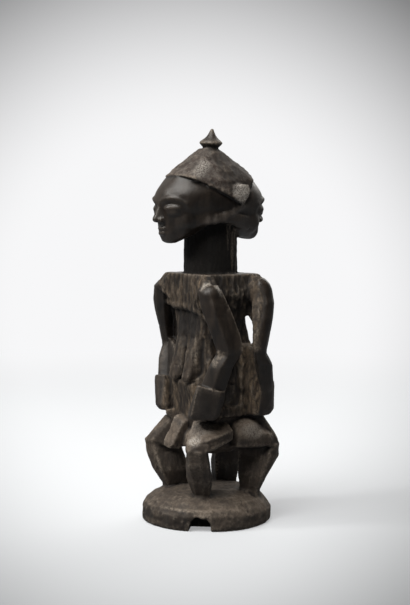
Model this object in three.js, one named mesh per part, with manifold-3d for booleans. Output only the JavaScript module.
import * as THREE from 'three';
import { ConvexGeometry } from 'three/addons/geometries/ConvexGeometry.js';
import { mergeVertices } from 'three/addons/utils/BufferGeometryUtils.js';
import Module from 'manifold-3d';

// Two-faced standing figure carved from one block of wood.
// Millimetres, +Z up, one face looks toward -Y and the other toward +Y.
// The figure stands on the plane z = 0.

// Heights
const DOME_TOP = 18.6;
const WALL_TOP = 11;
const CROTCH = 39;
const KNEE = 44;
const WRIST = 78.5;
const WAIST = 97;
const SLAB_FOOT = 120;
const SLAB_TOP = 139.5;
const CHIN_FRONT = 156.4;
const CHIN_REAR = 158.8;
const EYE_LINE = 175;
const CAP_TOP = 209;
const KNOB_RIM = 212.4;
const TOTAL = 220;

// Widths, all measured from the axis of the part they belong to
const BASE_RADIUS = 36.3;
const NECK_RADIUS = 15;
const CAP_TOP_RADIUS = 5.6;
const KNOB_RIM_RADIUS = 6.2;
const KNOB_FOOT_RADIUS = 3.6;
const NOSE_REACH = 35.6;

// The carving is not quite true: base and body stand a little off the axis of the heads
const BASE_SHIFT = [-0.6, -1.1];
const BODY_SHIFT = [0.7, 1.2];

// Moves the finished figure so that its outline is centred on the origin
const CENTRING = [-0.7, 1.097];

// Arch cut through the foot of the base wall
const NOTCH_WIDTH = 12;
const NOTCH_HEIGHT = 7.8;
const NOTCH_DEPTH = 13;
const NOTCH_TURN = THREE.MathUtils.degToRad(-38);

const wasm = await Module();
wasm.setup();

// Closed surface to solid
function solid(geometry) {
  const bare = geometry.clone();
  bare.deleteAttribute('normal');
  bare.deleteAttribute('uv');
  const merged = mergeVertices(bare, 1e-4);
  return new wasm.Manifold(new wasm.Mesh({
    numProp: 3,
    vertProperties: merged.attributes.position.array,
    triVerts: new Uint32Array(merged.index.array),
  }));
}

// Smallest convex block round a list of [x, y, z] points
function block(points) {
  return solid(new ConvexGeometry(points.map((p) => new THREE.Vector3(...p))));
}

function joinAll(solids) {
  return solids.reduce((whole, next) => whole.add(next));
}

// The same points on both sides of the plane x = 0
function both(points) {
  return points.flatMap(([x, y, z]) => [[x, y, z], [-x, y, z]]);
}

// Points moved into one of the four corners of the body
function corner(points, sx, sy) {
  return points.map(([x, y, z]) => [sx * x + BODY_SHIFT[0], sy * y + BODY_SHIFT[1], z]);
}

// Eight-sided ring of a limb: wide along one level direction, thinner outwards
const LIMB_ANGLES = [0, 36, 78, 118, 180, 242, 282, 324].map(THREE.MathUtils.degToRad);
const OUT = [Math.cos(Math.PI / 6), Math.sin(Math.PI / 6)];
function limbRing([z, x, y, halfWidth, halfDepth]) {
  return LIMB_ANGLES.map((a) => {
    const along = halfWidth * Math.sin(a);
    const out = halfDepth * Math.cos(a);
    return [x + OUT[0] * out - OUT[1] * along, y + OUT[1] * out + OUT[0] * along, z];
  });
}

// Chain of convex blocks through a list of rings
function chain(rings) {
  return rings.slice(1).map((ring, i) => [...rings[i], ...ring]);
}

// Rounded-corner rectangle as eight points, half sizes hx and hy, corner cut c
function slabRing(z, hx, hy, c, shift) {
  const points = [];
  for (const sx of [1, -1]) {
    for (const sy of [1, -1]) {
      points.push([sx * hx + shift[0], sy * (hy - c) + shift[1], z]);
      points.push([sx * (hx - c) + shift[0], sy * hy + shift[1], z]);
    }
  }
  return points;
}

// Base: a low disc with a domed top, its edge a little uneven as cut by hand
function base() {
  const profile = [
    [0, BASE_RADIUS - 1],
    [1.6, BASE_RADIUS],
    [8.4, BASE_RADIUS + 0.1],
    [WALL_TOP, BASE_RADIUS - 1.4],
    [13.6, 31.4],
    [15.9, 25.5],
    [17.5, 18],
    [DOME_TOP, 9],
  ];
  const points = [];
  const sides = 30;
  for (const [z, radius] of profile) {
    for (let i = 0; i < sides; i += 1) {
      const a = (2 * Math.PI * i) / sides;
      const wave = 1 + 0.012 * Math.sin(3 * a + 0.6) + 0.007 * Math.sin(7 * a + 2);
      const sag = z > 8 && z < 14 ? 1.3 * Math.sin(a + 0.2) : 0;
      points.push([
        radius * wave * Math.cos(a) + BASE_SHIFT[0],
        radius * wave * Math.sin(a) + BASE_SHIFT[1],
        z - Math.max(0, sag),
      ]);
    }
  }
  return block(points);
}

function notch() {
  const half = NOTCH_WIDTH / 2;
  const arch = new THREE.Shape();
  arch.moveTo(-half, -1);
  arch.lineTo(half, -1);
  arch.lineTo(half * 0.9, NOTCH_HEIGHT * 0.45);
  arch.lineTo(half * 0.5, NOTCH_HEIGHT * 0.9);
  arch.lineTo(0, NOTCH_HEIGHT);
  arch.lineTo(-half * 0.6, NOTCH_HEIGHT * 0.8);
  arch.lineTo(-half * 0.95, NOTCH_HEIGHT * 0.3);
  arch.closePath();
  const cut = new THREE.ExtrudeGeometry(arch, { depth: NOTCH_DEPTH + 4, bevelEnabled: false });
  cut.rotateX(Math.PI / 2);
  cut.rotateZ(Math.PI / 2);
  cut.translate(BASE_RADIUS - NOTCH_DEPTH, 0, 0);
  cut.rotateZ(NOTCH_TURN);
  cut.translate(BASE_SHIFT[0], BASE_SHIFT[1], 0);
  return solid(cut);
}

// Bent leg in one corner: a shin that leans outwards and a flat-topped thigh.
// The legs behind stand closer together than the ones under the belly.
function legPoints(sx, sy) {
  const near = sy > 0 && sx > 0 ? 3 : 0;
  const wide = sy > 0 && sx < 0 ? 1 : 0;
  const ankle = [
    [12.4, 11], [13.4 - wide, 20.6 + 1.4 * wide], [19, 21], [23, 18], [24, 15.2], [20, 11.6],
  ];
  const calf = [[12, 9.8], [13.6, 24], [21.6, 24.8], [27, 20.6], [27.6, 17], [22.6, 12.4]];
  const shank = [
    [13.6 - 0.6 * near, 10.6 - 0.6 * near], [17, 26.4], [24.4, 28.4], [29, 23.4], [29.2, 19],
    [23, 14.6],
  ];
  const knee = [
    [15 - near, 11.6 - near], [19.5, 27.5], [25.8, 29.4], [30, 24.5], [30, 20.5], [23, 16],
  ];
  const ring = (list, z) => list.map(([x, y]) => [x, y, z]);
  const shin = chain([
    ring(ankle, 12),
    ring(ankle, 18),
    ring(calf, 27),
    ring(shank, 37),
    ring(knee, KNEE + 0.5),
  ]);
  const thigh = [
    [8, 1.4, 60], [27, 1, 50.6], [30, 20, 50.6], [24.6, 27, 50], [20, 26.2, 50.8], [10, 17, 59],
    [19.6, 19.2, 58], [22, 2, 57],
    [8, 1.4, 41], [27, 1, 44.5], [30.4, 20.6, 44.2], [26, 29.7, 43.4], [19.4, 28.2, 43.6],
    [24.4, 28.8, 41], [20, 27, 41], [9, 15, 40],
  ];
  return [...shin, thigh];
}

// Arm in one corner: shoulder end, upper arm, elbow turned out to the side, forearm, hand
function armPoints() {
  const upper = [
    [135.2, 24.4, 16.4, 4.2, 3.6],
    [131.5, 26.2, 16.6, 6.6, 6.1],
    [124, 28.2, 15.6, 7, 6.5],
    [117, 30.2, 14, 7.1, 6.1],
    [108, 32.8, 11.6, 7, 4.9],
    [99, 34.4, 9, 7.2, 4.7],
  ];
  const lower = [
    [99, 34.4, 9, 7.2, 4.7],
    [96.5, 33.6, 9.3, 7.1, 4.8],
    [90, 31.6, 12.6, 6.9, 5.4],
    [WRIST, 27.8, 15.4, 7.6, 5.8],
  ];
  const hand = [
    [WRIST, 26.2, 16.6, 9, 6.6],
    [76.5, 26.2, 16.8, 9.2, 7],
    [63.5, 22.6, 18.4, 9.4, 7.2],
    [60.8, 22.2, 18, 7.6, 5.8],
  ];
  const cap = [
    ...limbRing([131.5, 26.2, 16.6, 6.6, 6.1]),
    [14, 18.4, SLAB_TOP], [21.4, 17.6, SLAB_TOP], [23.6, 12, SLAB_TOP], [12, 12, SLAB_TOP],
    [12, 18, 124], [25, 9, 124],
  ];
  return [...[upper, lower, hand].flatMap((rings) => chain(rings.map(limbRing))), cap];
}

// Trunk: narrow under the shoulders, wider at the hips
function trunk() {
  const rings = [
    slabRing(CROTCH, 12, 9, 4, BODY_SHIFT),
    slabRing(KNEE, 18, 14, 5, BODY_SHIFT),
    slabRing(60, 21.4, 17.4, 9, BODY_SHIFT),
    slabRing(78, 19.6, 18.2, 8, BODY_SHIFT),
    slabRing(WAIST, 17.2, 15.6, 5.5, BODY_SHIFT),
    slabRing(108, 17.4, 14.8, 4, BODY_SHIFT),
    slabRing(SLAB_FOOT + 2, 21, 14.4, 4, BODY_SHIFT),
  ];
  return chain(rings).map(block);
}

// Flank strips that run from each rear elbow down to the hip
function flanks() {
  const strip = (top) => [
    [12, 8, top + 6], [18.4, 8.4, top], [18.4, 13.6, top],
    [20.8, 7.8, top - 14], [20.8, 14.6, top - 14],
    [23.4, 7.4, 61], [23, 15.6, 61], [12, 8, 58],
  ];
  return [1, -1].flatMap((sx) => [
    block(corner(strip(104), sx, 1)),
    block(corner(strip(90), sx, -1)),
  ]);
}

// Hollows cut into the flanks between the strips
function flankHollow(side) {
  return block([
    [16.6, -2.6, 83], [16.6, 5.6, 83], [28, -3.6, 88], [28, 6.4, 88],
    [17, -3, 67.5], [17, 5.4, 67.5], [28, -4, 65.5], [28, 6.4, 65.5],
  ].map(([x, y, z]) => [side * x + BODY_SHIFT[0], y + BODY_SHIFT[1], z]));
}

// Shoulder block with a flat top and corners cut off at a slope
function shoulders() {
  const ring = (z, hx, hy, c) => slabRing(z, hx, hy, c, BODY_SHIFT);
  return [
    block([
      ...ring(SLAB_TOP, 23.6, 18.2, 3.6),
      ...ring(128, 26, 18.6, 4),
      ...ring(SLAB_FOOT + 2.5, 23, 17.6, 4),
      ...ring(SLAB_FOOT - 0.5, 19.6, 16.2, 4),
    ]),
  ];
}

// Two long lobes on the chest; the rear pair is flatter and shorter
function lobes() {
  const lobe = (side, front, fullness, tip) => {
    const ring = (z, outer, ridge, inner) => [
      [side * 13, outer - 6, z],
      [side * 12.8, outer, z],
      [side * 9.8, ridge * fullness, z],
      [side * 6, (ridge + 0.8) * fullness, z],
      [side * 0.9, inner * fullness, z],
      [side * 0.9, inner - 6, z],
    ].map(([x, y, height]) => [x + BODY_SHIFT[0], front * y + BODY_SHIFT[1], height]);
    return chain([
      ring(SLAB_FOOT, 12.5, 15, 13.6),
      ring(104, 14.2, 17.6, 15.4),
      ring(88, 15.4, 20, 17.2),
      [...ring(tip + 3, 15.4, 20.8, 18).slice(0, 5),
        [side * 7 + BODY_SHIFT[0], front * 20.6 * fullness + BODY_SHIFT[1], tip],
        [side * 9 + BODY_SHIFT[0], front * 17 + BODY_SHIFT[1], tip + 1],
        [side * 6 + BODY_SHIFT[0], front * 14 + BODY_SHIFT[1], tip + 1]],
    ]).map(block);
  };
  return [1, -1].flatMap((side) => [
    ...lobe(side, -1, 1, 79),
    ...lobe(side, 1, 0.93, 84),
  ]);
}

// Faceted peg under the belly and the low swelling behind it
function groin() {
  const [bx, by] = BODY_SHIFT;
  const peg = [
    [-3, -15, 60], [3, -15, 60], [3.2, -20.4, 57.4], [-3.2, -20.4, 57.4], [0, -21.6, 57.8],
    [-2.6, -24, 46.6], [2.6, -24, 46.6], [2.4, -29, 45.6], [-2.4, -29, 45.6], [0, -30.2, 46.4],
    [1, -27, 43], [-1, -27, 43],
  ];
  const swelling = [
    [-6, -12, 54], [6, -12, 54], [-5, -19.6, 49], [5, -19.6, 49],
    [-4, -20.6, 43], [4, -20.6, 43], [-5, -12, 41], [5, -12, 41],
  ];
  return [peg, swelling].map((points) => block(points.map(([x, y, z]) => [x + bx, y + by, z])));
}

function neck() {
  const points = [];
  const sides = 18;
  for (const [z, radius] of [[SLAB_TOP - 3, NECK_RADIUS + 0.3], [150, NECK_RADIUS], [176, NECK_RADIUS]]) {
    for (let i = 0; i < sides; i += 1) {
      const a = (2 * Math.PI * (i + 0.5)) / sides;
      points.push([radius * Math.cos(a) + 0.4, radius * Math.sin(a) + 0.7, z]);
    }
  }
  return block(points);
}

// One head, looking toward +Y; the other is the same turned round
function head(front, chinZ) {
  const place = (points) => points.map(([x, y, z]) => [x, front * y, z]);
  const skull = both([
    [6, 20, 193], [14, 8, 193], [14, -2, 193],
    [7, 25, 190.6], [13, 19.6, 190], [7.8, 28.6, 188],
    [8.2, 31.2, 184], [15.4, 23.2, 184], [19, 8, 185], [19, -2, 185],
    [8, 31.4, 179], [16.4, 21.6, 176], [19.2, 8, 176], [19.2, -2, 176],
    [6, 29.8, 168], [13.6, 20.6, 167],
    [5, 27.4, chinZ + 1.2], [4.4, 24, chinZ], [10, 22.6, chinZ + 3.4],
    [14, 18.4, 165.4], [17.4, 10, 170.4], [18.4, 0, 172.4],
    [10, 2, 166],
  ]);
  const nose = both([
    [1.4, 31.4, EYE_LINE + 4], [1.8, 28, EYE_LINE + 3],
    [1.5, NOSE_REACH, 169.2], [3.4, 32.8, 167.8], [3.4, 28, 167.4], [1, NOSE_REACH - 1.2, 167.4],
  ]);
  const brow = (side) => [
    [[1.6, 31.4, 179.4], [1.6, 31.4, 177], [7.6, 32.2, 182.4], [8.2, 31.8, 179.8],
      [1.6, 27, 179], [7, 27, 180]],
    [[6.6, 32, 182.1], [7.2, 31.6, 179.9], [15.4, 24.2, 180.6], [15.6, 23.8, 178],
      [7, 26, 180], [13, 20, 179]],
  ].map((list) => list.map(([x, y, z]) => [side * x, y, z]));
  const socket = (side) => [
    [3.2, 29.6, 177.8], [8, 30.8, 179.4], [14.4, 24.4, 177.8],
    [3.4, 29.4, 171.6], [8.4, 29, 170.4], [14.2, 22.6, 172.4],
    [3.2, 33.6, 177.6], [8, 35, 179.2], [16.4, 27.4, 177.8],
    [3.4, 33.4, 171], [8.4, 33.4, 169.6], [16.4, 25.4, 172],
  ].map(([x, y, z]) => [side * x, y, z]);
  const eye = (side) => [
    [3.8, 29.6, 174.6], [7.4, 31.2, 177], [10.8, 29, 176.6], [14, 24.8, 174.8],
    [7.4, 30.8, 172.6], [10.8, 28.6, 172.4], [8.8, 31, 174.8], [8.6, 20, 174.8],
  ].map(([x, y, z]) => [side * x, y, z]);
  const lips = [
    both([[0.8, 32.2, 165], [4, 30.6, 164.4], [5, 28.4, 163.6], [0.8, 32, 163.4], [3, 27, 164],
      [3, 30.8, 163.3]]),
    both([[0.9, 31.6, 163], [4, 30, 162.8], [4.8, 28, 163], [0.9, 30.8, 160.8], [3, 26, 162],
      [3, 29.4, 160.9]]),
  ];
  const chin = both([[2.4, 29.4, chinZ + 2.4], [2.2, 28.8, chinZ + 0.4], [4.6, 27, chinZ + 4],
    [2, 24, chinZ + 1]]);
  const carved = [1, -1].reduce(
    (whole, side) => whole.subtract(block(place(socket(side)))),
    block(place(skull)),
  );
  const raised = [
    nose,
    ...brow(1),
    ...brow(-1),
    eye(1),
    eye(-1),
    ...lips,
    chin,
  ];
  return raised.reduce((whole, points) => whole.add(block(place(points))), carved);
}

// Conical cap over both heads, cut back over each face and left long at the sides
function cap() {
  const points = [];
  for (let i = 0; i < 10; i += 1) {
    const a = (2 * Math.PI * i) / 10;
    points.push([CAP_TOP_RADIUS * Math.cos(a), CAP_TOP_RADIUS * Math.sin(a), CAP_TOP]);
  }
  const quarter = [
    [9.2, 4, 203.4], [6, 10.4, 203.2], [14, 5, 198], [8.4, 17.4, 198.4],
    [19.2, 4, 191], [15.4, 18.8, 192], [8.6, 25.4, 192], [0, 27, 192.4],
    [20.6, 3, 184], [19.2, 14, 184], [10, 26.4, 186], [20.8, 10, 177],
  ];
  for (const [x, y, z] of quarter) {
    points.push([x, y, z], [-x, y, z], [x, -y, z], [-x, -y, z]);
  }
  // Everything below a sloping plane in front of each face goes
  const cutter = (front, rise, level, start) => {
    const far = 60;
    const at = (y) => level + rise * y;
    return block([1, -1].flatMap((side) => [
      [side * 40, front * start, at(start)],
      [side * 40, front * start, 150],
      [side * 40, front * far, at(far)],
      [side * 40, front * far, 150],
    ]));
  };
  return block(points)
    .subtract(cutter(-1, 0.45, 182.8, -8.4))
    .subtract(cutter(1, 1.3, 163.4, 11.6));
}

// Small double-cone knob on top, leaning a little
function knob() {
  const profile = [
    [0, -2], [KNOB_FOOT_RADIUS, -2], [KNOB_FOOT_RADIUS, 0],
    [KNOB_RIM_RADIUS - 0.3, KNOB_RIM - CAP_TOP - 0.9], [KNOB_RIM_RADIUS, KNOB_RIM - CAP_TOP],
    [5.5, KNOB_RIM - CAP_TOP + 0.7], [3.8, 5.5], [2.5, 6.9], [1.5, 8.8],
    [0.7, TOTAL - CAP_TOP - 0.3],
    [0, TOTAL - CAP_TOP],
  ].map(([r, z]) => new THREE.Vector2(r, z));
  const lathe = new THREE.LatheGeometry(profile, 16);
  lathe.rotateX(Math.PI / 2);
  lathe.rotateY(THREE.MathUtils.degToRad(5));
  lathe.translate(0.5, 0.6, CAP_TOP);
  return solid(lathe);
}

// One arm closes in on the body toward the hand more than the other three do
function closeIn([x, y, z]) {
  const reach = 1 - 0.0011 * (SLAB_TOP - z);
  return [x * reach, y * reach, z];
}

const limbs = [1, -1].flatMap((sx) => [1, -1].flatMap((sy) => {
  const arm = armPoints().map((points) => (sx < 0 && sy < 0 ? points.map(closeIn) : points));
  return [...legPoints(sx, sy), ...arm].map((points) => block(corner(points, sx, sy)));
}));

const joined = joinAll([
  base().subtract(notch()),
  ...limbs,
  ...trunk(),
  ...flanks(),
  ...shoulders(),
  ...lobes(),
  ...groin(),
  neck(),
  head(-1, CHIN_FRONT),
  head(1, CHIN_REAR),
  cap(),
  knob(),
]);
const figure = [1, -1].reduce((whole, side) => whole.subtract(flankHollow(side)), joined);

function toMesh(name, made) {
  const data = made.getMesh();
  const geometry = new THREE.BufferGeometry();
  geometry.setAttribute('position', new THREE.BufferAttribute(data.vertProperties, 3));
  geometry.setIndex(new THREE.BufferAttribute(data.triVerts, 1));
  geometry.translate(CENTRING[0], CENTRING[1], 0);
  geometry.computeVertexNormals();
  const material = new THREE.MeshStandardMaterial({
    color: 0x4a3d34,
    roughness: 0.62,
    metalness: 0,
  });
  material.name = 'carved_wood';
  const mesh = new THREE.Mesh(geometry, material);
  mesh.name = name;
  return mesh;
}

const group = new THREE.Group();
group.name = 'janus_figure_group';
group.add(toMesh('janus_figure', figure));

export default group;
